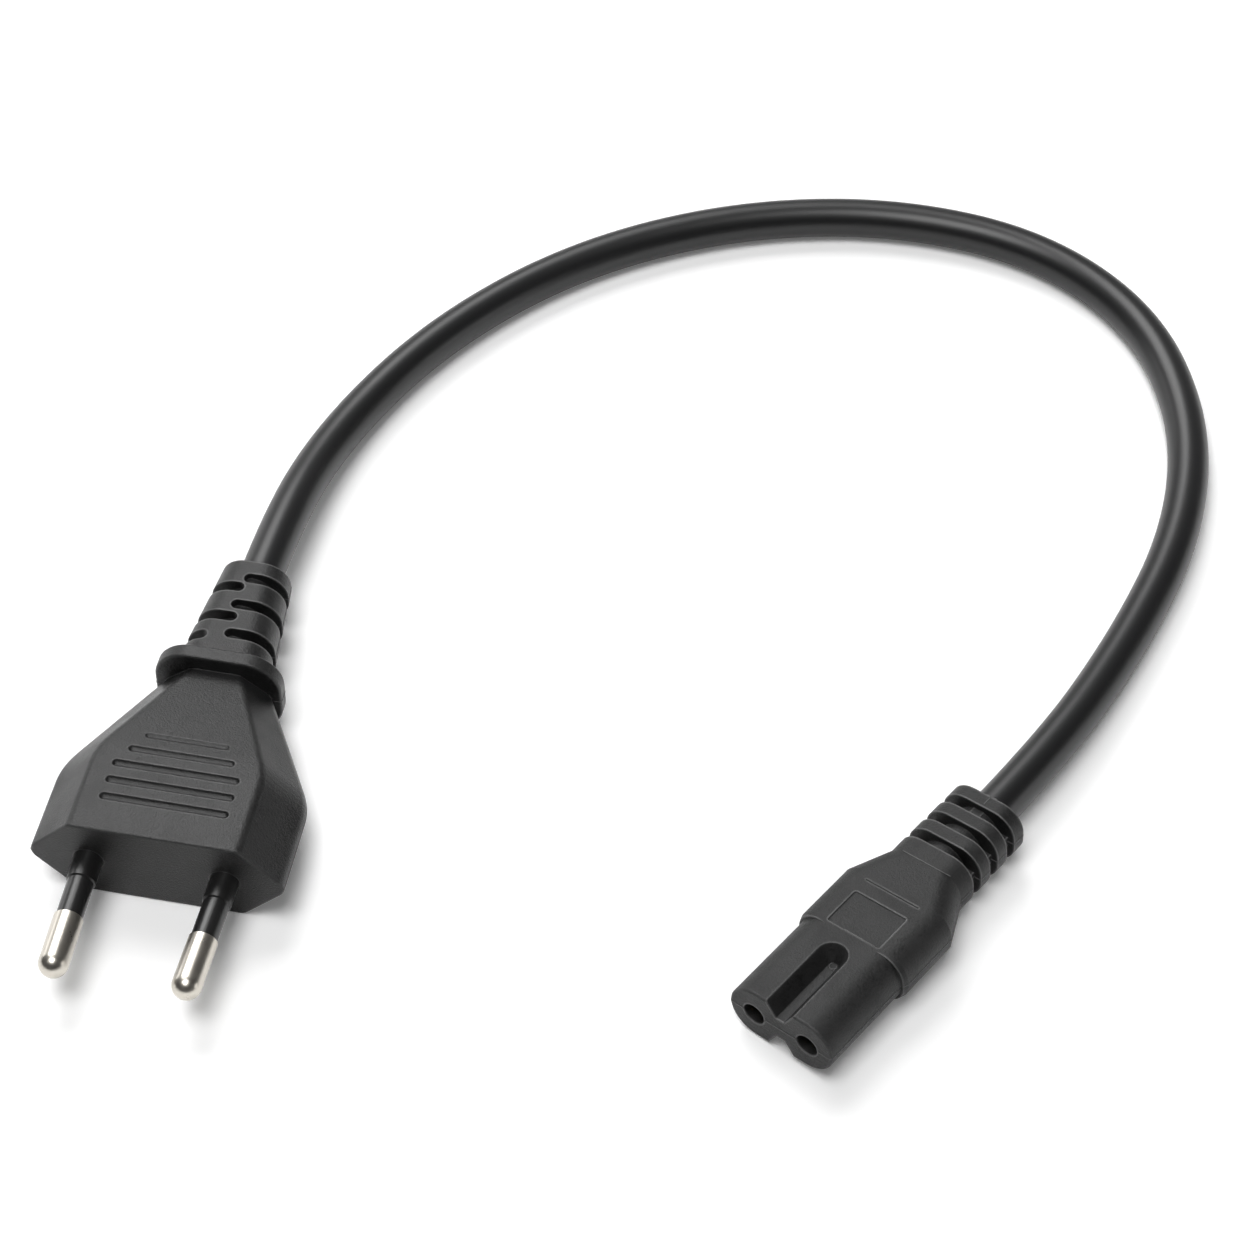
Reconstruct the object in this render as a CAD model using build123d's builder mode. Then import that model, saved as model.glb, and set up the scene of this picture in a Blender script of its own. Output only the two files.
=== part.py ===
"""Short two-core power cord: a flat two-pin mains plug on one end, a figure-8 appliance connector on the other.

Millimetres. The origin is the middle of the plug's pin face, halfway between the pins.
+Y runs from the pins through the plug into the cord, +X to the side, +Z up.
The cord lies on a surface, so the plug's underside, the cord and the connector's underside share one level.
"""

from math import atan2, cos, pi, radians, sin, tan
import os

from build123d import *

# Plug body: a flat hexagon at the pin face, tapering to a collar
PLUG_WIDTH = 34.6
PLUG_HEIGHT = 13.7
PLUG_FLAT = 23.0
PLUG_TAPER_START = 13.8
PLUG_SHOULDER_SPAN = 5.0
SHOULDER_STEPS = 6
COLLAR_START = 31.4
NECK_WIDTH = 15.3
NECK_HEIGHT = 8.9
NECK_FLAT = 6.8
APEX_RADIUS = 2.0
RIDGE_RADIUS = 1.6
FACE_EDGE = 0.35

# Round-bottomed finger grooves on both wide faces: first one's distance from the pin face, half lengths and depths
GROOVE_PITCH = 2.87
GROOVE_FIRST = 5.7
GROOVE_HALF_LENGTHS = (8.85, 8.85, 8.8, 7.4, 6.0)
GROOVE_DEPTHS = (0.45, 0.45, 0.45, 0.4, 0.25)
GROOVE_RADIUS = 0.65

# Collar behind the body
COLLAR_WIDTH = 18.0
COLLAR_THICKNESS = 2.3
COLLAR_RADIUS = 5.2
COLLAR_EDGE = 0.4

# Plug's bend relief: a tapered sleeve cut by staggered slots
RELIEF_END = 52.6
RELIEF_BASE = (13.2, 10.6)
RELIEF_TIP = (10.1, 8.6)
RELIEF_CORNER = 3.9
RELIEF_SLOT_WIDTH = 1.85
SKIN_RADIUS = 3.4

# Pins: round, converging towards their tips
PIN_SPACING = 18.6
PIN_TIP_SPACING = 17.6
PIN_LENGTH = 19.0
PIN_RADIUS = 2.0
PIN_CORE_RADIUS = 1.45
SLEEVE_LENGTH = 9.85
SLEEVE_RADIUS = 1.78
SLEEVE_BASE_RADIUS = 1.97
SLEEVE_BASE_LENGTH = 4.0
SLEEVE_BASE_CHAMFER = 0.2
SLEEVE_ROOT = 2.0
SLEEVE_FOOT_RADIUS = 2.47
SLEEVE_FOOT_LENGTH = 1.0
BRIDGE_END = 7.0
PIN_FLANGE_RADIUS = 2.6
PIN_FLANGE_LENGTH = 1.2
CRIMP_END = 15.0
CRIMP_RADIUS = 1.7
BRIDGE_WIDTH = 25.6
BRIDGE_HEIGHT = 8.4
BRIDGE_RADIUS = 3.2

# Cord: round sheath over two cores
CORD_RADIUS = 3.1
CORE_RADIUS = 1.25
STRAND_RADIUS = 0.6
CORE_OFFSET = 1.45
CORE_STRAIGHT = 4.6
BARE_GAP = 1.2
CORD_START = 38.0

# Figure-8 connector, measured from its own face
NOSE_WIDTH = 16.5
CONNECTOR_HEIGHT = 8.4
NOSE_LENGTH = 15.0
NOSE_EDGE = 0.35
HOLE_SPACING = 8.6
HOLE_RADIUS = 1.65
HOLE_DEPTH = 1.8
SLOT_LENGTH = 13.3
SLOT_TOP_WIDTH = 4.4
SLOT_FLOOR_WIDTH = 1.3
SLOT_DEPTH = 2.4
SHELL_WIDTH = 17.6
SHELL_RADIUS = 3.7
SHELL_LEAD = 0.8
SHELL_LEAD_WIDTH = 17.0
SHELL_TAPER_START = 25.3
CONNECTOR_NECK_START = 31.4
CONNECTOR_NECK_END = 34.3
CONNECTOR_NECK_WIDTH = 11.9
RING_COUNT = 3
RING_PITCH = 3.93
RING_GAP = 1.75
RING_TIP_WIDTH = 11.6
RING_CORNER = 3.5
WEB_WIDTH = 1.7
WEB_DROP = 1.0
WEB_TAIL = 0.9
LABEL_PANEL = (8.4, 6.2)
LABEL_PANEL_MIDDLE = 18.7
LABEL_PANEL_DEPTH = 0.18
LABEL_PANEL_CORNER = 0.3
MOULD_LINE = (8.6, 0.25)
MOULD_LINE_MIDDLE = 24.2
MOULD_LINE_DEPTH = 0.12
CONTACT_RADIUS = 1.6
CONTACT_BORE = 1.2
CONTACT_MOUTH = 1.8
CONTACT_LENGTH = 10.5
CONTACT_SLIT = 0.45
CONTACT_CRIMP_END = 19.0
CARRIER_START = 14.6
CARRIER_END = 17.4
CARRIER_WIDTH = 13.4
CARRIER_HEIGHT = 5.0
CARRIER_CORNER = 1.5
CORD_FINISH = 34.0
CORE_END_GAP = 0.05
SKIN_END_DROP = 0.4

# Where the connector lies, rolled onto its left edge by the cord's twist, and the levels of what rests on the surface
CONNECTOR_FACE = (84.68, -7.66)
CONNECTOR_YAW = radians(-29.9)
CONNECTOR_ROLL = radians(7.6)
SURFACE = -PLUG_HEIGHT / 2
CORD_LEVEL = SURFACE + CORD_RADIUS
SHELL_CORNER_DROP = (SHELL_WIDTH / 2 - SHELL_RADIUS) * sin(CONNECTOR_ROLL) + (
    CONNECTOR_HEIGHT / 2 - SHELL_RADIUS
) * cos(CONNECTOR_ROLL)
CONNECTOR_LEVEL = SURFACE + SHELL_RADIUS + SHELL_CORNER_DROP
LEFT, RIGHT = -1, 1
SIDE_NAMES = {LEFT: "left", RIGHT: "right"}
CORE_COLOURS = {LEFT: "brown", RIGHT: "blue"}
ARC_SHARE = 0.45

# Relief slots on each side: each one's distance from the pin face, and where it ends inwards
SLOT_MIDDLES = {LEFT: (37.4, 41.4, 47.3), RIGHT: (38.2, 43.9, 49.25)}
SLOT_INNER_ENDS = {LEFT: (2.9, -0.3, 0.2), RIGHT: (-0.6, -1.2, -0.75)}

plug_frame = Plane.XY
connector_frame = Plane(
    origin=(*CONNECTOR_FACE, CONNECTOR_LEVEL),
    x_dir=(cos(CONNECTOR_YAW) * cos(CONNECTOR_ROLL), sin(CONNECTOR_YAW) * cos(CONNECTOR_ROLL), sin(CONNECTOR_ROLL)),
    z_dir=(-cos(CONNECTOR_YAW) * sin(CONNECTOR_ROLL), -sin(CONNECTOR_YAW) * sin(CONNECTOR_ROLL), cos(CONNECTOR_ROLL)),
)


def place(frame, x, y, z=0.0):
    """A point of a moulding's own frame, in the cord's frame."""
    return frame.from_local_coords(Vector(x, y, z))


def section(frame, y):
    """The plane across a moulding at a distance from its face: local X to the side, local Y up."""
    return Plane(origin=place(frame, 0, y), x_dir=frame.x_dir, z_dir=-frame.y_dir)


def level(frame, z):
    """The horizontal plane of a moulding at a height above its axis."""
    return Plane(origin=place(frame, 0, 0, z), x_dir=frame.x_dir, z_dir=frame.z_dir)


def corner_radii(points):
    """Arcs at a route's corners, each taking the same share of the shorter run beside it."""
    radii = []
    for before, corner, after in zip(points, points[1:], points[2:]):
        run_in = Vector(*corner) - Vector(*before)
        run_out = Vector(*after) - Vector(*corner)
        half_turn = radians(run_in.get_angle(run_out)) / 2
        radii.append(ARC_SHARE * min(run_in.length, run_out.length) / tan(half_turn))
    return radii


def tube_along(points, radius):
    """A round tube along straight runs joined by tangent arcs."""
    with BuildPart() as tube:
        with BuildLine() as path:
            FilletPolyline(*points, radius=corner_radii(points))
        with BuildSketch(Plane(origin=path.line @ 0, z_dir=path.line % 0)):
            Circle(radius)
        sweep(path=path.line)
    return tube


def finish(part, label):
    """Names a finished piece and writes it out."""
    part.label = label
    export_step(part, f"parts/{label}.step")


# The cord's route: out of the plug's relief, down to the surface, round the wide bend, up into the connector
ROUTE = [
    (0.0, CORD_START, 0.0),
    (0.0, 63.0, 0.0),
    (3.0, 88.0, CORD_LEVEL + 0.35),
    (13.6, 112.5, CORD_LEVEL),
    (31.0, 133.8, CORD_LEVEL),
    (54.0, 148.6, CORD_LEVEL),
    (79.5, 155.3, CORD_LEVEL),
    (104.0, 152.6, CORD_LEVEL),
    (122.4, 138.8, CORD_LEVEL),
    (131.1, 117.0, CORD_LEVEL),
    (131.3, 93.5, CORD_LEVEL),
    (124.5, 69.0, CORD_LEVEL),
    tuple(place(connector_frame, 0, 59.0, -0.5)),
    tuple(place(connector_frame, 0, CORD_FINISH)),
]

cord = tube_along(ROUTE, CORD_RADIUS)


def pin_plane(side):
    """A pin's lengthwise plane: local X outwards along the pin, local Y up."""
    lean = atan2((PIN_SPACING - PIN_TIP_SPACING) / 2, PIN_LENGTH)
    outward = Vector(-side * sin(lean), -cos(lean), 0)
    across = outward.cross(Vector(0, 0, 1))
    return Plane(origin=(side * PIN_SPACING / 2, 0, 0), x_dir=outward, z_dir=across)


def make_pin(side):
    """Nickel-plated brass pin in one piece: round tip, core under the sleeve, flange, crimp barrel."""
    plane = pin_plane(side)
    with BuildPart() as pin:
        with BuildSketch(plane):
            with BuildLine():
                Polyline(
                    (-CRIMP_END, STRAND_RADIUS),
                    (-CRIMP_END, CRIMP_RADIUS),
                    (-BRIDGE_END - PIN_FLANGE_LENGTH, CRIMP_RADIUS),
                    (-BRIDGE_END - PIN_FLANGE_LENGTH, PIN_FLANGE_RADIUS),
                    (-BRIDGE_END, PIN_FLANGE_RADIUS),
                    (-BRIDGE_END, PIN_CORE_RADIUS),
                    (SLEEVE_LENGTH, PIN_CORE_RADIUS),
                    (SLEEVE_LENGTH, PIN_RADIUS),
                    (PIN_LENGTH - PIN_RADIUS, PIN_RADIUS),
                )
                CenterArc((PIN_LENGTH - PIN_RADIUS, 0), PIN_RADIUS, 0, 90)
                Polyline(
                    (PIN_LENGTH, 0),
                    (-BRIDGE_END - PIN_FLANGE_LENGTH, 0),
                    (-BRIDGE_END - PIN_FLANGE_LENGTH, STRAND_RADIUS),
                    (-CRIMP_END, STRAND_RADIUS),
                )
            make_face()
        revolve(axis=Axis(plane.origin, plane.x_dir))
    return pin


def make_pin_sleeve(side):
    """Insulating sleeve on a pin, thicker next to the plug's face, with a foot inside the moulding."""
    plane = pin_plane(side)
    with BuildPart() as sleeve:
        with BuildSketch(plane):
            with BuildLine():
                Polyline(
                    (-SLEEVE_ROOT, PIN_CORE_RADIUS),
                    (-SLEEVE_ROOT, SLEEVE_FOOT_RADIUS),
                    (-SLEEVE_ROOT + SLEEVE_FOOT_LENGTH, SLEEVE_FOOT_RADIUS),
                    (-SLEEVE_ROOT + SLEEVE_FOOT_LENGTH, SLEEVE_BASE_RADIUS),
                    (SLEEVE_BASE_LENGTH - SLEEVE_BASE_CHAMFER, SLEEVE_BASE_RADIUS),
                    (SLEEVE_BASE_LENGTH, SLEEVE_RADIUS),
                    (SLEEVE_LENGTH, SLEEVE_RADIUS),
                    (SLEEVE_LENGTH, PIN_CORE_RADIUS),
                    close=True,
                )
            make_face()
        revolve(axis=Axis(plane.origin, plane.x_dir))
    return sleeve


pins = {side: make_pin(side) for side in (LEFT, RIGHT)}
sleeves = {side: make_pin_sleeve(side) for side in (LEFT, RIGHT)}

# Hard bridge inside the plug that holds both pins apart
with BuildPart() as pin_bridge:
    with BuildSketch(section(plug_frame, BRIDGE_END)):
        RectangleRounded(BRIDGE_WIDTH, BRIDGE_HEIGHT, BRIDGE_RADIUS)
    extrude(amount=BRIDGE_END - SLEEVE_ROOT)
    for side in (LEFT, RIGHT):
        add(pins[side].part, mode=Mode.SUBTRACT)
        add(sleeves[side].part, mode=Mode.SUBTRACT)

# Brown and blue cores with their bared strands, in the plug
plug_cores = {}
plug_strands = {}
for side in (LEFT, RIGHT):
    plane = pin_plane(side)
    barrel_foot, core_start, core_bend = (
        plane.from_local_coords((-distance, 0, 0))
        for distance in (BRIDGE_END + PIN_FLANGE_LENGTH, CRIMP_END + BARE_GAP, CRIMP_END + CORE_STRAIGHT)
    )
    with BuildPart() as strands:
        with BuildSketch(Plane(origin=barrel_foot, z_dir=-plane.x_dir)):
            Circle(STRAND_RADIUS)
        extrude(amount=(core_start - barrel_foot).length)
    plug_strands[side] = strands
    core_merge = place(plug_frame, side * CORE_OFFSET, CORD_START - CORE_STRAIGHT)
    core_end = place(plug_frame, side * CORE_OFFSET, CORD_START)
    core_points = [tuple(point) for point in (core_start, core_bend, core_merge, core_end)]
    plug_cores[side] = tube_along(core_points, CORE_RADIUS)


def plug_section_size(y):
    """Width, height and flat of the plug's hexagon at a distance from the pin face."""
    start = PLUG_TAPER_START - PLUG_SHOULDER_SPAN / 2
    end = PLUG_TAPER_START + PLUG_SHOULDER_SPAN / 2
    if y <= start:
        eased = 0.0
    elif y < end:
        eased = (y - start) ** 2 / (2 * PLUG_SHOULDER_SPAN)
    else:
        eased = y - PLUG_TAPER_START
    share = eased / (COLLAR_START - PLUG_TAPER_START)
    sizes = ((PLUG_WIDTH, NECK_WIDTH), (PLUG_HEIGHT, NECK_HEIGHT), (PLUG_FLAT, NECK_FLAT))
    return [full + share * (small - full) for full, small in sizes]


def sharp_apex(width, height, flat):
    """Half the hexagon's width before its side corners are rounded, so that it measures width after."""
    reach = width / 2
    for _ in range(8):
        slope = atan2(height / 2, reach - flat / 2)
        reach = width / 2 + APEX_RADIUS * (1 / sin(slope) - 1)
    return reach


def hexagon(y):
    """The plug's rounded hexagon at a distance from the pin face, as a sketch on its own plane."""
    width, height, flat = plug_section_size(y)
    apex = sharp_apex(width, height, flat)
    with BuildSketch(section(plug_frame, y)) as outline:
        with BuildLine():
            Polyline(
                (-apex, 0),
                (-flat / 2, height / 2),
                (flat / 2, height / 2),
                (apex, 0),
                (flat / 2, -height / 2),
                (-flat / 2, -height / 2),
                close=True,
            )
        make_face()
        fillet(outline.vertices().filter_by(lambda v: abs(v.Y) > height / 2 - 0.1), RIDGE_RADIUS)
        fillet(outline.vertices().filter_by(lambda v: abs(v.Y) < 0.1), APEX_RADIUS)
    return outline


def finger_groove(face_side, y, half_length, depth):
    """A lying capsule that cuts one round-bottomed finger groove into a wide face of the plug."""
    height = plug_section_size(y)[1]
    axis_level = face_side * (height / 2 + GROOVE_RADIUS - depth)
    plane = Plane(origin=(0, y, axis_level), x_dir=(1, 0, 0), z_dir=(0, -1, 0))
    end = half_length - GROOVE_RADIUS
    with BuildPart() as groove:
        with BuildSketch(plane):
            with BuildLine():
                Line((-half_length, 0), (half_length, 0))
                CenterArc((end, 0), GROOVE_RADIUS, 0, 90)
                Line((end, GROOVE_RADIUS), (-end, GROOVE_RADIUS))
                CenterArc((-end, 0), GROOVE_RADIUS, 90, 90)
            make_face()
        revolve(axis=Axis(plane.origin, plane.x_dir))
    return groove


# Collar, joined to the plug moulding below
relief_start = COLLAR_START + COLLAR_THICKNESS
with BuildPart() as collar:
    with BuildSketch(section(plug_frame, relief_start)):
        RectangleRounded(COLLAR_WIDTH, PLUG_HEIGHT, COLLAR_RADIUS)
    extrude(amount=COLLAR_THICKNESS)
    fillet(collar.faces().filter_by(Axis.Y).edges(), COLLAR_EDGE)

# Staggered slots of the bend relief: cut from each side down to a thin skin over the cord
with BuildPart() as relief_slots:
    for side in (LEFT, RIGHT):
        for slot_y, inner_end in zip(SLOT_MIDDLES[side], SLOT_INNER_ENDS[side]):
            slot_length = COLLAR_WIDTH / 2 - inner_end
            with BuildSketch(level(plug_frame, 0)):
                with Locations((side * (inner_end + slot_length / 2), slot_y)):
                    SlotOverall(slot_length, RELIEF_SLOT_WIDTH)
            extrude(amount=PLUG_HEIGHT / 2, both=True)
    with BuildSketch(section(plug_frame, RELIEF_END)):
        Circle(SKIN_RADIUS)
    extrude(amount=RELIEF_END - relief_start, mode=Mode.SUBTRACT)

# Plug moulding: body, collar and bend relief in one piece
shoulder_start = PLUG_TAPER_START - PLUG_SHOULDER_SPAN / 2
shoulder = [shoulder_start + PLUG_SHOULDER_SPAN * k / SHOULDER_STEPS for k in range(SHOULDER_STEPS + 1)]
with BuildPart() as plug_body:
    loft([hexagon(y).sketch for y in (0.0, *shoulder, COLLAR_START)], ruled=True)
    fillet(plug_body.faces().sort_by(Axis.Y)[0].edges(), FACE_EDGE)
    for face_side in (-1, 1):
        for index, (half_length, depth) in enumerate(zip(GROOVE_HALF_LENGTHS, GROOVE_DEPTHS)):
            groove_y = GROOVE_FIRST + index * GROOVE_PITCH
            add(finger_groove(face_side, groove_y, half_length, depth).part, mode=Mode.SUBTRACT)
    add(collar.part)
    with BuildSketch(section(plug_frame, relief_start)):
        RectangleRounded(*RELIEF_BASE, RELIEF_CORNER)
    with BuildSketch(section(plug_frame, RELIEF_END)):
        RectangleRounded(*RELIEF_TIP, RELIEF_CORNER)
    loft(ruled=True)
    add(relief_slots.part, mode=Mode.SUBTRACT)
    add(cord.part, mode=Mode.SUBTRACT)
    add(pin_bridge.part, mode=Mode.SUBTRACT)
    for side in (LEFT, RIGHT):
        for inner in (pins, sleeves, plug_cores, plug_strands):
            add(inner[side].part, mode=Mode.SUBTRACT)


def make_contact(side):
    """Rolled brass socket for the appliance's round pin, with a slit and a crimp barrel behind."""
    plane = Plane(
        origin=place(connector_frame, side * HOLE_SPACING / 2, 0),
        x_dir=connector_frame.y_dir,
        z_dir=connector_frame.x_dir,
    )
    socket_end = CONTACT_MOUTH + CONTACT_LENGTH
    waist_end = socket_end + CONTACT_RADIUS
    with BuildPart() as contact:
        with BuildSketch(plane):
            with BuildLine():
                Polyline(
                    (CONTACT_MOUTH, CONTACT_BORE),
                    (CONTACT_MOUTH, CONTACT_RADIUS),
                    (socket_end, CONTACT_RADIUS),
                    (waist_end, CONTACT_BORE),
                    (CONTACT_CRIMP_END, CONTACT_BORE),
                    (CONTACT_CRIMP_END, STRAND_RADIUS),
                    (waist_end, STRAND_RADIUS),
                    (waist_end, 0),
                    (socket_end, 0),
                    (socket_end, CONTACT_BORE),
                    close=True,
                )
            make_face()
        revolve(axis=Axis(plane.origin, plane.x_dir))
        with BuildSketch(level(connector_frame, 0)):
            with Locations((side * HOLE_SPACING / 2, CONTACT_MOUTH + CONTACT_LENGTH / 2)):
                Rectangle(CONTACT_SLIT, CONTACT_LENGTH)
        extrude(amount=CONTACT_RADIUS * 2, mode=Mode.SUBTRACT)
    return contact


contacts = {side: make_contact(side) for side in (LEFT, RIGHT)}

# Cores and bared strands in the connector
connector_cores = {}
connector_strands = {}
barrel_start = CONTACT_MOUTH + CONTACT_LENGTH + CONTACT_RADIUS
for side in (LEFT, RIGHT):
    core_y = CONTACT_CRIMP_END + BARE_GAP
    with BuildPart() as strands:
        with BuildSketch(section(connector_frame, core_y)):
            with Locations((side * HOLE_SPACING / 2, 0)):
                Circle(STRAND_RADIUS)
        extrude(amount=core_y - barrel_start)
    connector_strands[side] = strands
    core_route = [
        (side * HOLE_SPACING / 2, core_y),
        (side * HOLE_SPACING / 2, core_y + CORE_STRAIGHT - BARE_GAP),
        (side * CORE_OFFSET, CORD_FINISH - CORE_STRAIGHT),
        (side * CORE_OFFSET, CORD_FINISH - CORE_END_GAP),
    ]
    core_points = [tuple(place(connector_frame, x, y)) for x, y in core_route]
    connector_cores[side] = tube_along(core_points, CORE_RADIUS)

# Hard carrier that holds the two contacts apart inside the connector
with BuildPart() as contact_carrier:
    with BuildSketch(section(connector_frame, CARRIER_END)):
        RectangleRounded(CARRIER_WIDTH, CARRIER_HEIGHT, CARRIER_CORNER)
    extrude(amount=CARRIER_END - CARRIER_START)
    for side in (LEFT, RIGHT):
        add(contacts[side].part, mode=Mode.SUBTRACT)
        add(connector_strands[side].part, mode=Mode.SUBTRACT)

# Connector moulding: nose, shell, neck and ribbed bend relief in one piece
last_ring_end = CONNECTOR_NECK_END + RING_COUNT * RING_PITCH
with BuildPart() as cord_skin:
    with BuildSketch(Plane(origin=ROUTE[-1], z_dir=Vector(*ROUTE[-2]) - Vector(*ROUTE[-1]))):
        Circle(SKIN_RADIUS)
    extrude(amount=last_ring_end - CORD_FINISH - SKIN_END_DROP)
with BuildPart() as connector_body:
    with BuildSketch(section(connector_frame, NOSE_LENGTH)):
        SlotOverall(NOSE_WIDTH, CONNECTOR_HEIGHT)
    extrude(amount=NOSE_LENGTH)
    fillet(connector_body.faces().sort_by(Axis(connector_frame.origin, connector_frame.y_dir))[0].edges(), NOSE_EDGE)
    with BuildSketch(section(connector_frame, NOSE_LENGTH)):
        RectangleRounded(SHELL_LEAD_WIDTH, CONNECTOR_HEIGHT, SHELL_RADIUS)
    for y in (NOSE_LENGTH + SHELL_LEAD, SHELL_TAPER_START):
        with BuildSketch(section(connector_frame, y)):
            RectangleRounded(SHELL_WIDTH, CONNECTOR_HEIGHT, SHELL_RADIUS)
    for y in (CONNECTOR_NECK_START, CONNECTOR_NECK_END):
        with BuildSketch(section(connector_frame, y)):
            RectangleRounded(CONNECTOR_NECK_WIDTH, CONNECTOR_HEIGHT, RING_CORNER)
    loft(ruled=True)
    add(cord_skin.part)
    with BuildSketch(section(connector_frame, last_ring_end + WEB_TAIL)):
        Rectangle(WEB_WIDTH, CONNECTOR_HEIGHT - 2 * WEB_DROP)
    extrude(amount=last_ring_end + WEB_TAIL - CONNECTOR_NECK_END)
    with BuildSketch(section(connector_frame, last_ring_end)):
        Rectangle(RING_TIP_WIDTH - 2 * WEB_DROP, WEB_WIDTH)
    extrude(amount=last_ring_end - CONNECTOR_NECK_END)
    for index in range(RING_COUNT):
        ring_end = CONNECTOR_NECK_END + (index + 1) * RING_PITCH
        share = (index + 1) / RING_COUNT
        ring_width = CONNECTOR_NECK_WIDTH + share * (RING_TIP_WIDTH - CONNECTOR_NECK_WIDTH)
        with BuildSketch(section(connector_frame, ring_end)):
            RectangleRounded(ring_width, CONNECTOR_HEIGHT, RING_CORNER)
        extrude(amount=RING_PITCH - RING_GAP)
    for face_side in (-1, 1):
        for cut_level, width in ((1, SLOT_TOP_WIDTH), (0, SLOT_FLOOR_WIDTH)):
            slot_z = face_side * (CONNECTOR_HEIGHT / 2 - (1 - cut_level) * SLOT_DEPTH)
            slot_end = SLOT_LENGTH - (SLOT_TOP_WIDTH - width) / 2
            with BuildSketch(level(connector_frame, slot_z)):
                with Locations((0, 0)):
                    SlotOverall(2 * slot_end, width, rotation=90)
        loft(ruled=True, mode=Mode.SUBTRACT)
    with BuildSketch(level(connector_frame, CONNECTOR_HEIGHT / 2 - LABEL_PANEL_DEPTH)):
        with Locations((0, LABEL_PANEL_MIDDLE)):
            RectangleRounded(*LABEL_PANEL, LABEL_PANEL_CORNER)
    extrude(amount=LABEL_PANEL_DEPTH, mode=Mode.SUBTRACT)
    with BuildSketch(level(connector_frame, CONNECTOR_HEIGHT / 2 - MOULD_LINE_DEPTH)):
        with Locations((0, MOULD_LINE_MIDDLE)):
            Rectangle(*MOULD_LINE)
    extrude(amount=MOULD_LINE_DEPTH, mode=Mode.SUBTRACT)
    with BuildSketch(section(connector_frame, 0)):
        with Locations((-HOLE_SPACING / 2, 0), (HOLE_SPACING / 2, 0)):
            Circle(HOLE_RADIUS)
    extrude(amount=-HOLE_DEPTH, mode=Mode.SUBTRACT)
    with BuildSketch(section(connector_frame, CONTACT_MOUTH)):
        with Locations((-HOLE_SPACING / 2, 0), (HOLE_SPACING / 2, 0)):
            Circle(CONTACT_RADIUS)
    extrude(amount=-CONTACT_LENGTH, mode=Mode.SUBTRACT)
    add(contact_carrier.part, mode=Mode.SUBTRACT)
    add(cord.part, mode=Mode.SUBTRACT)
    for side in (LEFT, RIGHT):
        for inner in (contacts, connector_cores, connector_strands):
            add(inner[side].part, mode=Mode.SUBTRACT)

os.makedirs("parts", exist_ok=True)
finish(plug_body.part, "plug_body")
finish(pin_bridge.part, "pin_bridge")
finish(cord.part, "cord")
finish(connector_body.part, "connector_body")
finish(contact_carrier.part, "contact_carrier")
for side, name in SIDE_NAMES.items():
    finish(pins[side].part, f"pin_{name}")
    finish(sleeves[side].part, f"pin_sleeve_{name}")
    finish(plug_cores[side].part, f"plug_core_{CORE_COLOURS[side]}")
    finish(plug_strands[side].part, f"plug_strands_{name}")
    finish(contacts[side].part, f"contact_{name}")
    finish(connector_cores[side].part, f"connector_core_{CORE_COLOURS[side]}")
    finish(connector_strands[side].part, f"connector_strands_{name}")

runs = [(Vector(*b) - Vector(*a)).length for a, b in zip(ROUTE, ROUTE[1:])]
print("runs", [round(run, 1) for run in runs])
print("radii", [round(radius, 1) for radius in corner_radii(ROUTE)])
print("cord length", round(cord.part.volume / (pi * CORD_RADIUS**2), 1))
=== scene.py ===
"""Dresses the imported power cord: moulded plug and connector, sheathed cord, nickel pins and a studio.

Everything is in metres in the cord's own frame: the origin is the middle of the plug's pin face,
+Y runs from the pins into the cord, +X to the side and +Z up from the surface that the cord lies on.
"""

import math

import bmesh
import bpy
from mathutils import Matrix, Vector


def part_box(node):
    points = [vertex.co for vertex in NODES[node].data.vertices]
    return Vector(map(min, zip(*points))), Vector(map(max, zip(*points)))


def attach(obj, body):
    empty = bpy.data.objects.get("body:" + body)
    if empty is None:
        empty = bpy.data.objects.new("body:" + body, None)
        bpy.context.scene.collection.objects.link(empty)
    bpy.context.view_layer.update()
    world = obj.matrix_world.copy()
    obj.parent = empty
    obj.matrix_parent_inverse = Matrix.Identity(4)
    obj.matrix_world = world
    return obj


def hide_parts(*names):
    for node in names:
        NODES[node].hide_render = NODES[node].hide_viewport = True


bl_info = {
    "name": "Power Cord",
    "version": (1, 0, 0),
    "blender": (4, 5, 0),
    "location": "3D View > Sidebar > Power Cord",
    "description": "Finishes a short two-core power cord and sets up its studio",
    "category": "Object",
}

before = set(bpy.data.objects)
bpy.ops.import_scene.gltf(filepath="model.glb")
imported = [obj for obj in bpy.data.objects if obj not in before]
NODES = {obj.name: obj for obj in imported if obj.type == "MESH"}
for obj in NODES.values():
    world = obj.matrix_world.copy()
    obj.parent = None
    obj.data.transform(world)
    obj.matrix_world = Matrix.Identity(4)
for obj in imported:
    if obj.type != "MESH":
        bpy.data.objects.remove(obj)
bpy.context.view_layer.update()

MM = 0.001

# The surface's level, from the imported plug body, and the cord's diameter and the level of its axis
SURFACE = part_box("plug_body")[0].z
CORD_DIAMETER = 6.2 * MM
CORD_LEVEL = SURFACE + CORD_DIAMETER / 2

# How the connector lies: its axis's height on its rolled shell, the middle of its face, its yaw and roll
CONNECTOR_LEVEL = SURFACE + 4.87 * MM
CONNECTOR_PLACE = (
    Matrix.Translation((84.68 * MM, -7.66 * MM, CONNECTOR_LEVEL))
    @ Matrix.Rotation(math.radians(-29.9), 4, "Z")
    @ Matrix.Rotation(math.radians(-7.6), 4, "Y")
)
PLUG_PLACE = Matrix.Identity(4)

# Heights of the connector's top and of its slot's floor above its axis
CONNECTOR_TOP = 4.2 * MM
SLOT_FLOOR = 1.8 * MM

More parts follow.
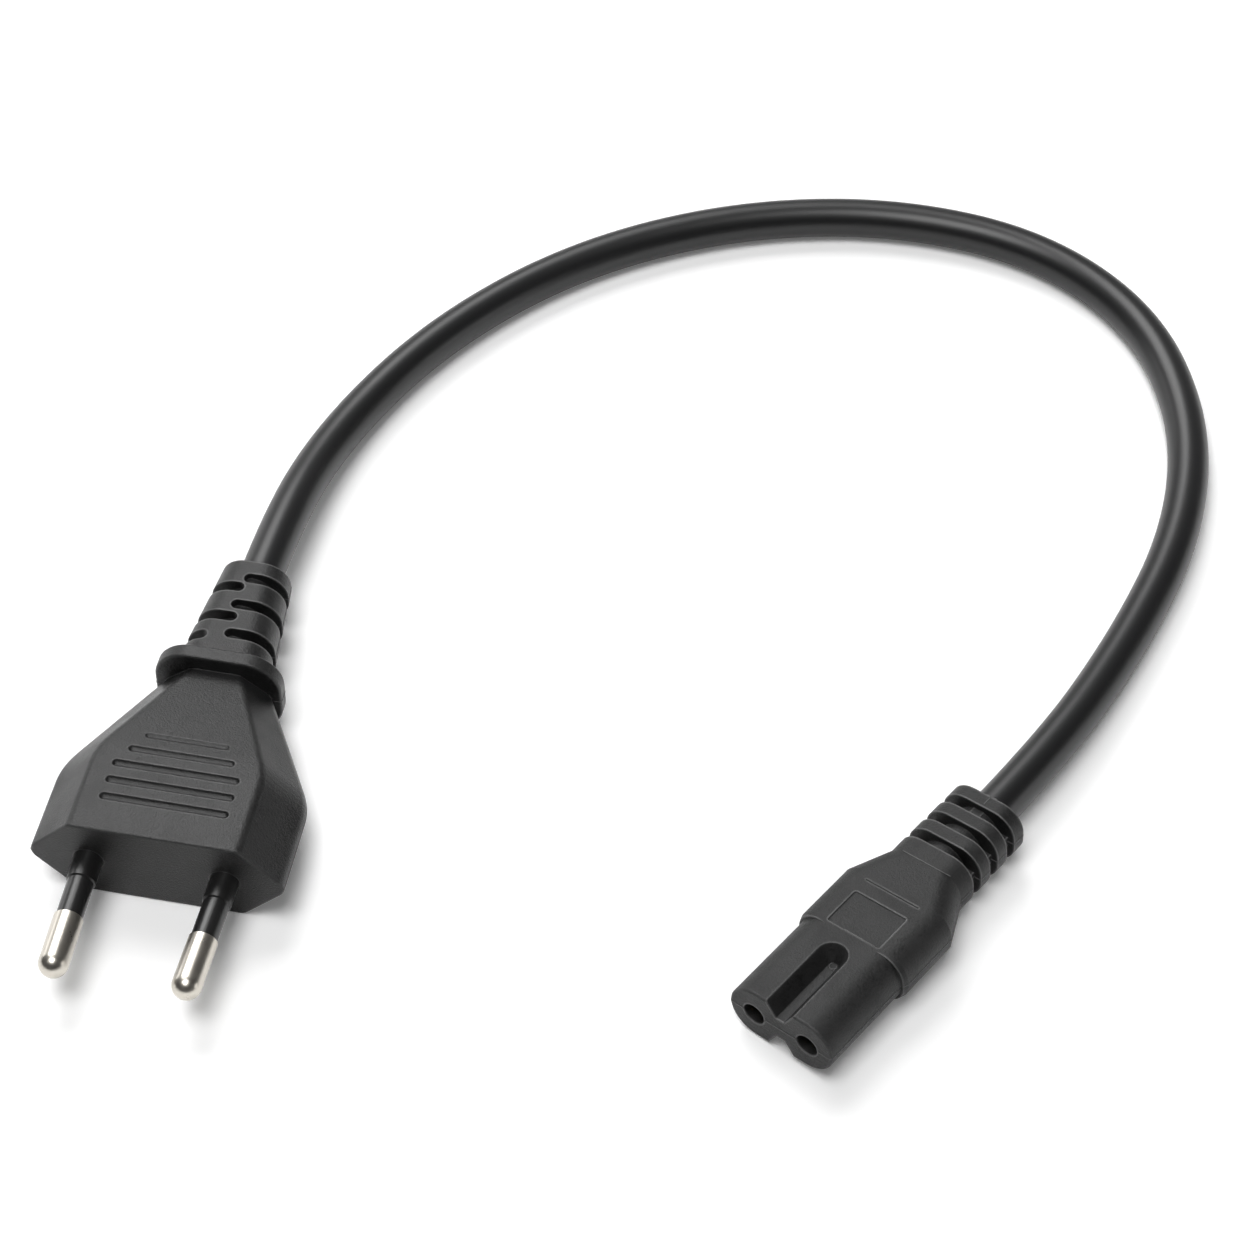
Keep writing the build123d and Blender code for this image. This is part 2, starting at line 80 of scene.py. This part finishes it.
# Where the plug's outer sides are, in millimetres: half width, start and slope of the taper, relief
PLUG_SIDE_HALF = 14.5
PLUG_TAPER_START = 12
PLUG_TAPER_SLOPE = 0.55
PLUG_RELIEF_HALF = 4.3

# Where the connector's outer sides are, in millimetres: half widths of shell, neck and relief, and ends
SHELL_SIDE_HALF = 7.0
SHELL_END = 26
NECK_SIDE_HALF = 5.0
NECK_END = 34.4
RING_SIDE_HALF = 3.7

# Lines of the mould's inserts on the connector's top, in millimetres: name, x, y, width and length
INSERT_LINES = (
    ("nose_insert_line", 1.1, 15.6, 5.0, 0.14),
    ("neck_insert_line", 0.5, 31.2, 7.8, 0.14),
    ("ring_insert_line", 0.45, 45.2, 0.14, 1.6),
)

# The ejector pin's mark in the connector's slot
EJECTOR_FROM_FACE = 11.3 * MM
EJECTOR_RADIUS = 0.64 * MM
EJECTOR_RING_WIDTH = 0.22 * MM
EJECTOR_RING_HEIGHT = 0.09 * MM

# The cord's route, in millimetres: from the plug's relief down, round the wide bend, to the connector
CORD_ROUTE = [
    (0.0, 38.0, 0.0),
    (0.0, 63.0, 0.0),
    (3.0, 88.0, CORD_LEVEL / MM + 0.35),
    (13.6, 112.5, CORD_LEVEL / MM),
    (31.0, 133.8, CORD_LEVEL / MM),
    (54.0, 148.6, CORD_LEVEL / MM),
    (79.5, 155.3, CORD_LEVEL / MM),
    (104.0, 152.6, CORD_LEVEL / MM),
    (122.4, 138.8, CORD_LEVEL / MM),
    (131.1, 117.0, CORD_LEVEL / MM),
    (131.3, 93.5, CORD_LEVEL / MM),
    (124.5, 69.0, CORD_LEVEL / MM),
    tuple(CONNECTOR_PLACE @ Vector((0.0, 59.0 * MM, -0.5 * MM)) / MM),
    tuple(CONNECTOR_PLACE @ Vector((0.0, 34.0 * MM, 0.0)) / MM),
]

# Corners closer than this are one corner
MERGE_DISTANCE = 0.001 * MM

# Grain of the moulded plastic, and the range of its mottle that turns from dark to light
GRAIN_SIZE = 0.3 * MM
GRAIN_DEPTH = 0.08 * MM
PATCH_SIZE = 6 * MM
MOTTLE_LOW = 0.8
MOTTLE_HIGH = 1.2

# Edges of the moulded plastic: their radius, how far in from them the painted highlight and the lower
# roughness reach, and that roughness
EDGE_RADIUS = 0.22 * MM
EDGE_HIGHLIGHT_REACH = 0.3 * MM
RUBBED_ROUGHNESS = 0.24

# Ripple and fine grain of the extruded plastic
RIPPLE_SIZE = 9 * MM
RIPPLE_DEPTH = 0.08 * MM
SKIN_GRAIN_SIZE = 0.5 * MM
SKIN_GRAIN_SHARE = 0.12

PLASTIC_IOR = 1.53

# The paper floor: how white it is, what it adds where it is seen, and the grey that it bounces
FLOOR_HALF_SIZE = 3.0
PAPER_WHITE = 0.97
PAPER_LIFT = 0.12
PAPER_BOUNCE = 0.2

# Distances from the cord's middle between which the floor's shadows fade to plain white
MIDDLE = (0.06, 0.07, 0.0)
FADE_START = 0.12
FADE_END = 0.3

# The way to the room's bright side, which is behind and a little to the left
BRIGHT_SIDE = (-0.35, 0.94, 0.0)

# The softboxes, in metres: name, place, width and height; each faces the cord's middle
SOFTBOXES = (
    ("overhead_softbox", (-0.115, -0.305, 1.44), 0.8, 0.8),
    ("back_softbox", (-0.42, 0.83, 1.05), 0.85, 0.75),
    ("left_softbox", (-1.13, 0.76, 0.24), 0.6, 0.4),
    ("right_softbox", (1.45, 0.07, 0.2), 0.7, 0.35),
)

# The camera's place in metres and its turns in degrees, fitted to the photo
CAMERA_PLACE = (0.0945734, -0.2302001, 0.3256039)
CAMERA_TURNS = (41.45, -1.6394, 10.0448)
SENSOR_WIDTH = 36


def linear(hex_colour):
    """An sRGB hex colour as linear red, green, blue and full alpha."""
    channels = [int(hex_colour[i : i + 2], 16) / 255 for i in (1, 3, 5)]
    return tuple(c / 12.92 if c <= 0.04045 else ((c + 0.055) / 1.055) ** 2.4 for c in channels) + (1.0,)


def grey(level):
    """A neutral colour at a linear level."""
    return (level, level, level, 1.0)


def add_node(tree, kind, inputs=None, links=None, **settings):
    """Adds a shader node, sets its properties and sockets, and links sources into its inputs."""
    node = tree.nodes.new(kind)
    for key, value in settings.items():
        setattr(node, key, value)
    for key, value in (inputs or {}).items():
        node.inputs[key].default_value = value
    for key, source in (links or {}).items():
        tree.links.new(source, node.inputs[key])
    return node


def new_material(name):
    """An empty material with its shader and output, as (material, tree, shader)."""
    material = bpy.data.materials.new(name)
    material.use_nodes = True
    tree = material.node_tree
    tree.nodes.clear()
    shader = add_node(tree, "ShaderNodeBsdfPrincipled")
    add_node(tree, "ShaderNodeOutputMaterial", links={"Surface": shader.outputs["BSDF"]})
    return material, tree, shader


def grain(tree, size, detail=2.0, roughness=0.5):
    """Noise on object coordinates whose lumps are about size metres across."""
    place = add_node(tree, "ShaderNodeTexCoord")
    return add_node(
        tree,
        "ShaderNodeTexNoise",
        inputs={"Scale": 1 / size, "Detail": detail, "Roughness": roughness},
        links={"Vector": place.outputs["Object"]},
    )


def ramp(tree, source, low, high, colours):
    """A colour ramp between two colours over part of the source's range."""
    node = add_node(tree, "ShaderNodeValToRGB", links={"Fac": source})
    for element, position, colour in zip(node.color_ramp.elements, (low, high), colours):
        element.position = position
        element.color = colour
    return node


def moulded_pvc(name, colour, worn, painted_highlight, roughness):
    """Soft PVC from a spark-eroded mould: charcoal with an even grain, glossier on the rounded edges, where a
    paler colour is painted on as a highlight.
    """
    material, tree, shader = new_material(name)
    # the mould's grain is about 0.12 mm; it is drawn coarser so that it shows at this distance
    fine = grain(tree, GRAIN_SIZE, detail=3.0, roughness=0.7)
    patch = grain(tree, PATCH_SIZE, detail=4.0, roughness=0.55)
    mottle = add_node(
        tree,
        "ShaderNodeMath",
        operation="MULTIPLY_ADD",
        inputs={1: 1.0},
        links={0: fine.outputs["Fac"], 2: patch.outputs["Fac"]},
    )
    tone = ramp(tree, mottle.outputs["Value"], MOTTLE_LOW, MOTTLE_HIGH, (linear(colour), linear(worn)))
    gloss = add_node(
        tree,
        "ShaderNodeMapRange",
        inputs={
            "From Min": MOTTLE_LOW,
            "From Max": MOTTLE_HIGH,
            "To Min": roughness * 0.82,
            "To Max": roughness * 1.18,
        },
        links={"Value": mottle.outputs["Value"]},
    )
    # the steel mould's edges leave a small radius that catches the light
    edge = add_node(tree, "ShaderNodeBevel", samples=8, inputs={"Radius": EDGE_RADIUS})
    bump = add_node(
        tree,
        "ShaderNodeBump",
        inputs={"Strength": 1.0, "Distance": GRAIN_DEPTH},
        links={"Height": fine.outputs["Fac"], "Normal": edge.outputs["Normal"]},
    )
    # the outward edges, found by ambient occlusion from inside, turn glossier as if handling had rubbed the
    # grain off, and paler as a painted highlight
    within = add_node(
        tree,
        "ShaderNodeAmbientOcclusion",
        samples=6,
        inside=True,
        only_local=True,
        inputs={"Distance": EDGE_HIGHLIGHT_REACH},
    )
    highlight_and_gloss_mask = add_node(
        tree,
        "ShaderNodeMapRange",
        inputs={"From Min": 0.95, "From Max": 0.7, "To Min": 0.0, "To Max": 1.0},
        links={"Value": within.outputs["AO"]},
    )
    # painted highlight: along the outward edges the colour turns to the pale edge colour
    painted_highlight_tone = add_node(
        tree,
        "ShaderNodeMix",
        data_type="RGBA",
        inputs={7: linear(painted_highlight)},
        links={0: highlight_and_gloss_mask.outputs["Result"], 6: tone.outputs["Color"]},
    )
    sheen = add_node(
        tree,
        "ShaderNodeMix",
        data_type="FLOAT",
        inputs={3: RUBBED_ROUGHNESS},
        links={0: highlight_and_gloss_mask.outputs["Result"], 2: gloss.outputs["Result"]},
    )
    tree.links.new(painted_highlight_tone.outputs[2], shader.inputs["Base Color"])
    tree.links.new(sheen.outputs[0], shader.inputs["Roughness"])
    tree.links.new(bump.outputs["Normal"], shader.inputs["Normal"])
    shader.inputs["IOR"].default_value = PLASTIC_IOR
    shader.inputs["Specular IOR Level"].default_value = 0.37
    return material


def smooth_plastic(name, colour, roughness):
    """Extruded or polished plastic, smooth but for the faint ripple that die and cooling leave."""
    material, tree, shader = new_material(name)
    ripple = grain(tree, RIPPLE_SIZE, detail=1.0)
    fine = grain(tree, SKIN_GRAIN_SIZE, detail=2.0)
    height = add_node(
        tree,
        "ShaderNodeMath",
        operation="MULTIPLY_ADD",
        inputs={1: SKIN_GRAIN_SHARE},
        links={0: fine.outputs["Fac"], 2: ripple.outputs["Fac"]},
    )
    bump = add_node(
        tree,
        "ShaderNodeBump",
        inputs={"Strength": 0.3, "Distance": RIPPLE_DEPTH},
        links={"Height": height.outputs["Value"]},
    )
    tree.links.new(bump.outputs["Normal"], shader.inputs["Normal"])
    shader.inputs["Base Color"].default_value = linear(colour)
    shader.inputs["Roughness"].default_value = roughness
    shader.inputs["IOR"].default_value = PLASTIC_IOR
    return material


def turned_metal(name, colour, roughness, streak):
    """Turned or rolled metal: fine tool marks and small changes of gloss, under the plating if it has one."""
    material, tree, shader = new_material(name)
    marks = grain(tree, streak, detail=3.0, roughness=0.6)
    gloss = add_node(
        tree,
        "ShaderNodeMapRange",
        inputs={"From Min": 0.3, "From Max": 0.7, "To Min": roughness * 0.9, "To Max": roughness * 1.1},
        links={"Value": marks.outputs["Fac"]},
    )
    bump = add_node(
        tree,
        "ShaderNodeBump",
        inputs={"Strength": 0.04, "Distance": 0.01 * MM},
        links={"Height": marks.outputs["Fac"]},
    )
    tree.links.new(gloss.outputs["Result"], shader.inputs["Roughness"])
    tree.links.new(bump.outputs["Normal"], shader.inputs["Normal"])
    shader.inputs["Base Color"].default_value = linear(colour)
    shader.inputs["Metallic"].default_value = 1.0
    return material


def finish_node(name, material):
    """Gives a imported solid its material."""
    mesh = NODES[name].data
    mesh.materials.clear()
    mesh.materials.append(material)


def on_plug_side(place):
    """True for a place on the plug's outer sides, and not on its pin face or in its cavities."""
    x, y = abs(place.x) / MM, place.y / MM
    taper = PLUG_SIDE_HALF - PLUG_TAPER_SLOPE * (y - PLUG_TAPER_START)
    inner = PLUG_SIDE_HALF if y < PLUG_TAPER_START else max(taper, PLUG_RELIEF_HALF)
    return y > 0.1 and x > inner


def on_connector_side(place):
    """True for a place on the connector's face or outer sides, and not in its holes and cavities."""
    x, y = abs(place.x) / MM, place.y / MM
    inner = SHELL_SIDE_HALF if y < SHELL_END else NECK_SIDE_HALF if y < NECK_END else RING_SIDE_HALF
    return y < 0.05 or x > inner


def parting_line(name, node, place, wanted, width, height):
    """A fine raised line where the mould's halves meet, cut from a copy of the solid at mid height."""
    shape = bmesh.new()
    shape.from_mesh(NODES[node].data)
    bmesh.ops.remove_doubles(shape, verts=shape.verts, dist=MERGE_DISTANCE)
    up = place.to_3x3() @ Vector((0, 0, 1))
    for side in (-1, 1):
        bmesh.ops.bisect_plane(
            shape,
            geom=[*shape.verts, *shape.edges, *shape.faces],
            plane_co=place.translation + up * side * width / 2,
            plane_no=up * side,
            clear_outer=True,
        )
    back = place.inverted()
    inside = [face for face in shape.faces if not wanted(back @ face.calc_center_median())]
    bmesh.ops.delete(shape, geom=inside, context="FACES")
    shape.normal_update()
    raised = bmesh.ops.extrude_face_region(shape, geom=shape.faces[:])
    shape.normal_update()
    for corner in (item for item in raised["geom"] if isinstance(item, bmesh.types.BMVert)):
        corner.co += corner.normal * height
    bmesh.ops.recalc_face_normals(shape, faces=shape.faces)
    return finished_piece(name, shape)


def insert_line(name, place, width, length, height):
    """A low rounded ridge that a mould insert's edge leaves on a flat."""
    shape = bmesh.new()
    bmesh.ops.create_cube(shape, size=1.0)
    bmesh.ops.scale(shape, vec=(width, length, height * 2), verts=shape.verts)
    bmesh.ops.bevel(
        shape,
        geom=shape.edges[:],
        offset=height * 0.6,
        segments=2,
        affect="EDGES",
        profile=0.5,
        material=-1,
    )
    bmesh.ops.transform(shape, matrix=place, verts=shape.verts)
    return finished_piece(name, shape)


def ejector_mark(name, place, radius, width, height):
    """The round ring that an ejector pin leaves in the plastic."""
    shape = bmesh.new()
    foot = shape.verts.new((radius - width, 0, 0))
    crest = shape.verts.new((radius - width / 2, 0, height))
    toe = shape.verts.new((radius, 0, 0))
    profile = [shape.edges.new(pair) for pair in ((foot, crest), (crest, toe), (toe, foot))]
    bmesh.ops.spin(
        shape,
        geom=[foot, crest, toe, *profile],
        axis=(0, 0, 1),
        cent=(0, 0, 0),
        angle=math.tau,
        steps=32,
        use_merge=True,
    )
    bmesh.ops.remove_doubles(shape, verts=shape.verts, dist=MERGE_DISTANCE)
    bmesh.ops.recalc_face_normals(shape, faces=shape.faces)
    bmesh.ops.transform(shape, matrix=place, verts=shape.verts)
    return finished_piece(name, shape)


def finished_piece(name, shape):
    """Turns a bmesh into a smooth-shaded object that rides with the cord."""
    mesh = bpy.data.meshes.new(name)
    shape.to_mesh(mesh)
    shape.free()
    mesh.shade_smooth()
    mesh.set_sharp_from_angle(angle=math.radians(40))
    piece = bpy.data.objects.new(name, mesh)
    bpy.context.scene.collection.objects.link(piece)
    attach(piece, "root")
    return piece


class MouldingSettings(bpy.types.PropertyGroup):
    """Sizes and colours of the plug's and the connector's mouldings"""

    colour: bpy.props.StringProperty(
        name="Colour", description="Moulded PVC in its dark patches", default="#0f0f0f"
    )
    worn: bpy.props.StringProperty(
        name="Light colour", description="Moulded PVC in its pale patches", default="#202020"
    )
    # the pale colour painted on the outward edges as a highlight
    painted_highlight: bpy.props.StringProperty(
        name="Edge colour", description="Moulded PVC on rubbed edges", default="#606060"
    )
    plug_roughness: bpy.props.FloatProperty(
        name="Plug roughness", description="Roughness of the plug", default=0.39, subtype="FACTOR"
    )
    connector_roughness: bpy.props.FloatProperty(
        name="Connector roughness", description="Roughness of the connector", default=0.52, subtype="FACTOR"
    )
    line_width: bpy.props.FloatProperty(
        name="Line width", description="Width of the parting lines", default=0.16 * MM, unit="LENGTH"
    )
    line_height: bpy.props.FloatProperty(
        name="Line height", description="How far these lines stand out", default=0.05 * MM, unit="LENGTH"
    )


class CordSettings(bpy.types.PropertyGroup):
    """Size and colour of the sheathed cord"""

    diameter: bpy.props.FloatProperty(
        name="Diameter", description="Outside of the sheath", default=CORD_DIAMETER, unit="LENGTH"
    )
    length: bpy.props.FloatProperty(
        name="Length", description="Length of cord between its ends", default=0.3285, unit="LENGTH"
    )
    colour: bpy.props.StringProperty(name="Colour", description="Sheath", default="#161617")
    roughness: bpy.props.FloatProperty(
        name="Roughness", description="Roughness of the sheath", default=0.38, subtype="FACTOR"
    )


class PinSettings(bpy.types.PropertyGroup):
    """Finish of the pins and their sleeves"""

    nickel: bpy.props.StringProperty(name="Nickel", description="Plating of the pins", default="#cdc8be")
    sleeve: bpy.props.StringProperty(name="Sleeve", description="Insulating sleeve", default="#1b1b1b")


class ConductorSettings(bpy.types.PropertyGroup):
    """Finish of what the mouldings hold inside"""

    copper: bpy.props.StringProperty(name="Copper", description="Bared strands", default="#c9794e")
    brass: bpy.props.StringProperty(name="Brass", description="Rolled contacts", default="#c9a558")
    brown: bpy.props.StringProperty(name="Brown core", description="One core's cover", default="#5b3420")
    blue: bpy.props.StringProperty(name="Blue core", description="Other core's cover", default="#2a5ba8")
    insulator: bpy.props.StringProperty(name="Insulator", description="Bridge and carrier", default="#cfccc2")


class StageSettings(bpy.types.PropertyGroup):
    """Floor, lamps and camera"""

    lens: bpy.props.FloatProperty(
        name="Lens", description="Focal length in millimetres on the camera's sensor", default=87.6
    )
    key_power: bpy.props.FloatProperty(
        name="Key", description="Power of the softbox overhead, in watts", default=15.0
    )
    back_power: bpy.props.FloatProperty(
        name="Back", description="Power of the softbox behind, in watts", default=12.0
    )
    left_power: bpy.props.FloatProperty(
        name="Left", description="Power of the low softbox at the left, in watts", default=1.5
    )
    right_power: bpy.props.FloatProperty(
        name="Right", description="Power of the low softbox at the right, in watts", default=1.6
    )
    room_dark: bpy.props.FloatProperty(
        name="Dark side", description="Brightness of the room in front", default=0.05
    )
    room_bright: bpy.props.FloatProperty(
        name="Bright side", description="Brightness of the room behind", default=0.35
    )


class POWERCORD_OT_mouldings(bpy.types.Operator):
    """Finishes the plug's and the connector's mouldings and adds the marks that their mould leaves"""

    bl_idname = "power_cord.mouldings"
    bl_label = "Mouldings"

    def execute(self, context):
        settings = context.scene.power_cord_mouldings
        # the last colour is painted on the outward edges as a highlight
        colours = (settings.colour, settings.worn, settings.painted_highlight)
        plug = moulded_pvc("moulded_pvc", *colours, settings.plug_roughness)
        finish_node("plug_body", plug)
        connector = moulded_pvc("dull_moulded_pvc", *colours, settings.connector_roughness)
        finish_node("connector_body", connector)

        line = {"width": settings.line_width, "height": settings.line_height}
        plug_line = parting_line("plug_parting_line", "plug_body", PLUG_PLACE, on_plug_side, **line)
        connector_line = parting_line(
            "connector_parting_line", "connector_body", CONNECTOR_PLACE, on_connector_side, **line
        )
        marks = [connector_line]
        for name, x, y, width, length in INSERT_LINES:
            place = CONNECTOR_PLACE @ Matrix.Translation((x * MM, y * MM, CONNECTOR_TOP))
            marks.append(insert_line(name, place, width * MM, length * MM, settings.line_height))
        mark_place = CONNECTOR_PLACE @ Matrix.Translation((0, EJECTOR_FROM_FACE, SLOT_FLOOR))
        marks.append(
            ejector_mark(
                "slot_ejector_mark", mark_place, EJECTOR_RADIUS, EJECTOR_RING_WIDTH, EJECTOR_RING_HEIGHT
            )
        )
        for piece, material in [(plug_line, plug), *((mark, connector) for mark in marks)]:
            piece.data.materials.append(material)
        return {"FINISHED"}


class POWERCORD_OT_cord(bpy.types.Operator):
    """Lays the sheathed cord along its route"""

    bl_idname = "power_cord.cord"
    bl_label = "Cord"

    def execute(self, context):
        settings = context.scene.power_cord_cord
        curve = bpy.data.curves.new("sheathed_cord", "CURVE")
        curve.dimensions = "3D"
        spline = curve.splines.new("NURBS")
        spline.points.add(len(CORD_ROUTE) - 1)
        for point, place in zip(spline.points, CORD_ROUTE):
            point.co = (*(value * MM for value in place), 1.0)
        spline.order_u = 3
        spline.use_endpoint_u = True
        spline.resolution_u = 24
        curve.bevel_depth = settings.diameter / 2
        curve.bevel_resolution = 16
        curve.use_fill_caps = True
        cord = bpy.data.objects.new("sheathed_cord", curve)
        context.scene.collection.objects.link(cord)
        # near black, and smoother and glossier than the mouldings
        curve.materials.append(smooth_plastic("extruded_sheath", settings.colour, settings.roughness))
        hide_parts("cord")
        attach(cord, "root")
        return {"FINISHED"}


class POWERCORD_OT_pins(bpy.types.Operator):
    """Finishes the nickel-plated pins and their insulating sleeves"""

    bl_idname = "power_cord.pins"
    bl_label = "Pins"

    def execute(self, context):
        settings = context.scene.power_cord_pins
        # nickel over turned brass: warm grey and bright, a little soft in what it mirrors
        nickel = turned_metal("nickel_plated_brass", settings.nickel, roughness=0.3, streak=2 * MM)
        # nylon from a polished mould: black with a clear gloss
        sleeve = smooth_plastic("moulded_nylon", settings.sleeve, roughness=0.3)
        for side in ("left", "right"):
            finish_node(f"pin_{side}", nickel)
            finish_node(f"pin_sleeve_{side}", sleeve)
        return {"FINISHED"}


class POWERCORD_OT_conductors(bpy.types.Operator):
    """Finishes the contacts, cores, strands and hard insulators inside the mouldings"""

    bl_idname = "power_cord.conductors"
    bl_label = "Conductors"

    def execute(self, context):
        settings = context.scene.power_cord_conductors
        copper = turned_metal("bare_copper", settings.copper, roughness=0.3, streak=0.3 * MM)
        brass = turned_metal("rolled_brass", settings.brass, roughness=0.32, streak=0.5 * MM)
        brown = smooth_plastic("brown_insulation", settings.brown, roughness=0.4)
        blue = smooth_plastic("blue_insulation", settings.blue, roughness=0.4)
        insulator = smooth_plastic("hard_insulator", settings.insulator, roughness=0.45)
        for name in ("pin_bridge", "contact_carrier"):
            finish_node(name, insulator)
        for end in ("plug", "connector"):
            finish_node(f"{end}_core_brown", brown)
            finish_node(f"{end}_core_blue", blue)
            for side in ("left", "right"):
                finish_node(f"{end}_strands_{side}", copper)
        for side in ("left", "right"):
            finish_node(f"contact_{side}", brass)
        return {"FINISHED"}


def softbox(name, place, width, height, power):
    """An area lamp at a place, facing the cord's middle."""
    lamp = bpy.data.lights.new(name, "AREA")
    lamp.shape = "RECTANGLE"
    lamp.size = width
    lamp.size_y = height
    lamp.energy = power
    holder = bpy.data.objects.new(name, lamp)
    holder.location = place
    holder.rotation_euler = (Vector(MIDDLE) - Vector(place)).to_track_quat("-Z", "Y").to_euler()
    bpy.context.scene.collection.objects.link(holder)


def seen_by_eye(tree):
    """A socket that is 1 for what the camera, reflections and glass see, and 0 for bounced light."""
    path = add_node(tree, "ShaderNodeLightPath")
    both = add_node(
        tree,
        "ShaderNodeMath",
        operation="MAXIMUM",
        links={0: path.outputs["Is Camera Ray"], 1: path.outputs["Is Glossy Ray"]},
    )
    return add_node(
        tree,
        "ShaderNodeMath",
        operation="MAXIMUM",
        links={0: both.outputs["Value"], 1: path.outputs["Is Transmission Ray"]},
    ).outputs["Value"]


def floor_material():
    """White paper: shadows show on it near the cord, farther out it is plain white, and it bounces grey."""
    material = bpy.data.materials.new("white_paper")
    material.use_nodes = True
    tree = material.node_tree
    tree.nodes.clear()
    paper = add_node(tree, "ShaderNodeBsdfDiffuse", inputs={"Color": grey(PAPER_WHITE)})
    lift = add_node(tree, "ShaderNodeEmission", inputs={"Color": grey(1), "Strength": PAPER_LIFT})
    shadowed = add_node(
        tree,
        "ShaderNodeAddShader",
        links={0: paper.outputs["BSDF"], 1: lift.outputs["Emission"]},
    )
    plain = add_node(tree, "ShaderNodeEmission", inputs={"Color": grey(1), "Strength": 1.0})
    place = add_node(tree, "ShaderNodeTexCoord")
    apart = add_node(
        tree,
        "ShaderNodeVectorMath",
        operation="DISTANCE",
        inputs={1: (*MIDDLE[:2], SURFACE)},
        links={0: place.outputs["Object"]},
    )
    fade = add_node(
        tree,
        "ShaderNodeMapRange",
        interpolation_type="SMOOTHSTEP",
        inputs={"From Min": FADE_START, "From Max": FADE_END},
        links={"Value": apart.outputs["Value"]},
    )
    white = add_node(
        tree,
        "ShaderNodeMixShader",
        links={0: fade.outputs["Result"], 1: shadowed.outputs["Shader"], 2: plain.outputs["Emission"]},
    )
    bounced = add_node(tree, "ShaderNodeBsdfDiffuse", inputs={"Color": grey(PAPER_BOUNCE)})
    chosen = add_node(
        tree,
        "ShaderNodeMixShader",
        links={0: seen_by_eye(tree), 1: bounced.outputs["BSDF"], 2: white.outputs["Shader"]},
    )
    add_node(tree, "ShaderNodeOutputMaterial", links={"Surface": chosen.outputs["Shader"]})
    return material


def room(dark, bright):
    """The studio around: bright behind and to the left, dark in front, and white where the camera sees it."""
    world = bpy.data.worlds.new("room")
    world.use_nodes = True
    tree = world.node_tree
    tree.nodes.clear()
    place = add_node(tree, "ShaderNodeTexCoord")
    towards = add_node(
        tree,
        "ShaderNodeVectorMath",
        operation="DOT_PRODUCT",
        inputs={1: BRIGHT_SIDE},
        links={0: place.outputs["Generated"]},
    )
    wall = add_node(
        tree,
        "ShaderNodeMapRange",
        interpolation_type="SMOOTHSTEP",
        inputs={"From Min": 0.15, "From Max": 0.85, "To Min": dark, "To Max": bright},
        links={"Value": towards.outputs["Value"]},
    )
    path = add_node(tree, "ShaderNodeLightPath")
    level = add_node(
        tree,
        "ShaderNodeMath",
        operation="MAXIMUM",
        links={0: wall.outputs["Result"], 1: path.outputs["Is Camera Ray"]},
    )
    background = add_node(
        tree,
        "ShaderNodeBackground",
        inputs={"Color": grey(1)},
        links={"Strength": level.outputs["Value"]},
    )
    add_node(tree, "ShaderNodeOutputWorld", links={"Surface": background.outputs["Background"]})
    return world


class POWERCORD_OT_stage(bpy.types.Operator):
    """Adds the floor, the lamps, the room's light and the camera"""

    bl_idname = "power_cord.stage"
    bl_label = "Stage"

    def execute(self, context):
        settings = context.scene.power_cord_stage
        mesh = bpy.data.meshes.new("floor")
        shape = bmesh.new()
        bmesh.ops.create_grid(shape, x_segments=1, y_segments=1, size=FLOOR_HALF_SIZE)
        bmesh.ops.translate(shape, verts=shape.verts, vec=(*MIDDLE[:2], SURFACE))
        shape.to_mesh(mesh)
        shape.free()
        floor = bpy.data.objects.new("floor", mesh)
        context.scene.collection.objects.link(floor)
        mesh.materials.append(floor_material())

        powers = (settings.key_power, settings.back_power, settings.left_power, settings.right_power)
        for (name, place, width, height), power in zip(SOFTBOXES, powers):
            softbox(name, place, width, height, power)
        context.scene.world = room(settings.room_dark, settings.room_bright)

        lens = bpy.data.cameras.new("camera")
        lens.lens = settings.lens
        lens.sensor_width = SENSOR_WIDTH
        lens.clip_start = 0.01
        camera = bpy.data.objects.new("camera", lens)
        camera.location = CAMERA_PLACE
        camera.rotation_euler = [math.radians(turn) for turn in CAMERA_TURNS]
        context.scene.collection.objects.link(camera)
        context.scene.camera = camera
        context.scene.view_settings.view_transform = "Standard"
        return {"FINISHED"}


class POWERCORD_PT_panel(bpy.types.Panel):
    """Lists the steps that finish the power cord"""

    bl_idname = "POWERCORD_PT_panel"
    bl_label = "Power Cord"
    bl_space_type = "VIEW_3D"
    bl_region_type = "UI"
    bl_category = "Power Cord"

    def draw(self, context):
        for operator in OPERATORS:
            self.layout.operator(operator.bl_idname)


OPERATORS = (
    POWERCORD_OT_mouldings,
    POWERCORD_OT_cord,
    POWERCORD_OT_pins,
    POWERCORD_OT_conductors,
    POWERCORD_OT_stage,
)
SETTINGS = {
    "power_cord_mouldings": MouldingSettings,
    "power_cord_cord": CordSettings,
    "power_cord_pins": PinSettings,
    "power_cord_conductors": ConductorSettings,
    "power_cord_stage": StageSettings,
}


def register():
    for name, group in SETTINGS.items():
        bpy.utils.register_class(group)
        setattr(bpy.types.Scene, name, bpy.props.PointerProperty(type=group))
    for operator in OPERATORS:
        bpy.utils.register_class(operator)
    bpy.utils.register_class(POWERCORD_PT_panel)


def unregister():
    bpy.utils.unregister_class(POWERCORD_PT_panel)
    for operator in reversed(OPERATORS):
        bpy.utils.unregister_class(operator)
    for name, group in reversed(SETTINGS.items()):
        delattr(bpy.types.Scene, name)
        bpy.utils.unregister_class(group)


def main():
    register()
    bpy.ops.power_cord.mouldings()
    bpy.ops.power_cord.cord()
    bpy.ops.power_cord.pins()
    bpy.ops.power_cord.conductors()
    bpy.ops.power_cord.stage()
    bpy.context.view_layer.update()


if __name__ == "__main__":
    main()
